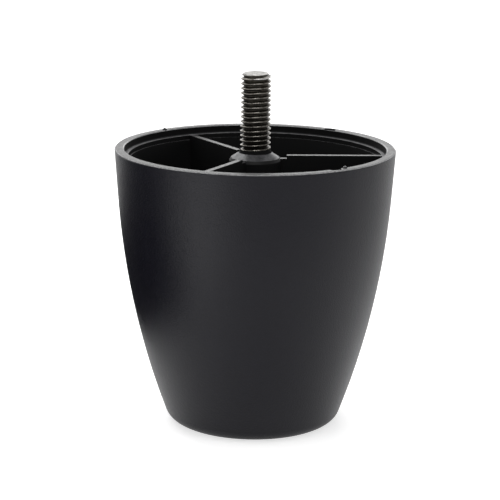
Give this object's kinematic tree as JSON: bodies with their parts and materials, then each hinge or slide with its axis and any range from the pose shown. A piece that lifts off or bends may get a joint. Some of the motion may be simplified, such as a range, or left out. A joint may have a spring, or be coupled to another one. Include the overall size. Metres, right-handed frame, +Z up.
{
  "type": "sofa foot",
  "caption": "Tapered round moulded plastic sofa foot, open and ribbed inside, with a threaded steel stud rising from its central boss.",
  "frame": {"origin": "middle of the flat base, on the surface that the foot stands on", "axes": "+Z up along the foot and its stud, +X along the rib on the right of the picture"},
  "size_m": [0.074, 0.074, 0.094],
  "materials": {
    "foot_plastic": "black, fine matt texture outside, smooth and darker inside",
    "stud_steel": "plain rolled steel thread, oily dark grooves and bright crests"
  },
  "bodies": {
    "root": {"foot_moulding": "foot_plastic", "threaded_stud": "stud_steel"}
  },
  "joints": []
}
